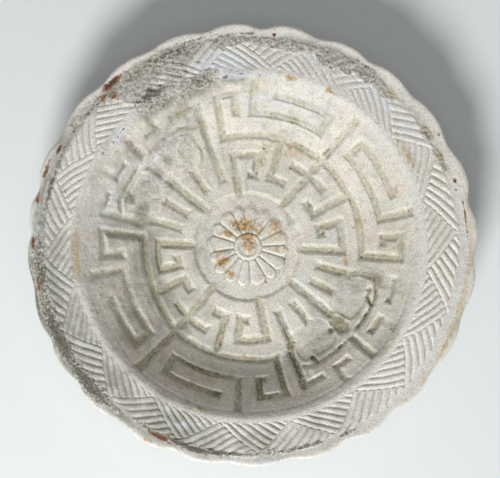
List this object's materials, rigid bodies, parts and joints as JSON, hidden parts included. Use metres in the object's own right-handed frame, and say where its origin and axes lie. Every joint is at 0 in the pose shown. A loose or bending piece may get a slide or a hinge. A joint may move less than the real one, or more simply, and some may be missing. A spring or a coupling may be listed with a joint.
{
  "type": "ceramic dish",
  "caption": "Round glazed ceramic dish with a scalloped lip, hatched flange, well with sunk fret and mask panels and a raised centre flower, on a foot ring.",
  "frame": {"origin": "centre of the foot ring, on the plane that it stands on", "axes": "+Z up out of the well; seen from above with +Y up, +X points to the right of the picture"},
  "size_m": [0.1826, 0.1796, 0.0333],
  "materials": {
    "glazed_clay": "worn pale glaze, mostly matt",
    "stained_glaze": "worn pale glaze with an orange-brown stain",
    "bare_clay": "unglazed fired clay"
  },
  "bodies": {
    "root": {"foot_ring": "bare_clay", "well_floor": "glazed_clay", "cavetto_wall": "glazed_clay", "rim_flange": "glazed_clay", "scalloped_lip": "glazed_clay", "centre_medallion": "glazed_clay", "flower_ring": "stained_glaze", "flower_boss": "stained_glaze", "flower_petal_01": "glazed_clay", "flower_petal_02": "glazed_clay", "flower_petal_03": "glazed_clay", "flower_petal_04": "glazed_clay", "flower_petal_05": "glazed_clay", "flower_petal_06": "glazed_clay", "flower_petal_07": "glazed_clay", "flower_petal_08": "glazed_clay", "flower_petal_09": "glazed_clay", "flower_petal_10": "glazed_clay", "flower_petal_11": "glazed_clay", "flower_petal_12": "glazed_clay", "flower_petal_13": "glazed_clay", "flower_petal_14": "glazed_clay", "flower_petal_15": "glazed_clay", "flower_petal_16": "glazed_clay", "mask_cheek_01": "glazed_clay", "mask_cheek_02": "glazed_clay", "mask_cheek_03": "glazed_clay", "mask_cheek_04": "glazed_clay"}
  },
  "joints": []
}
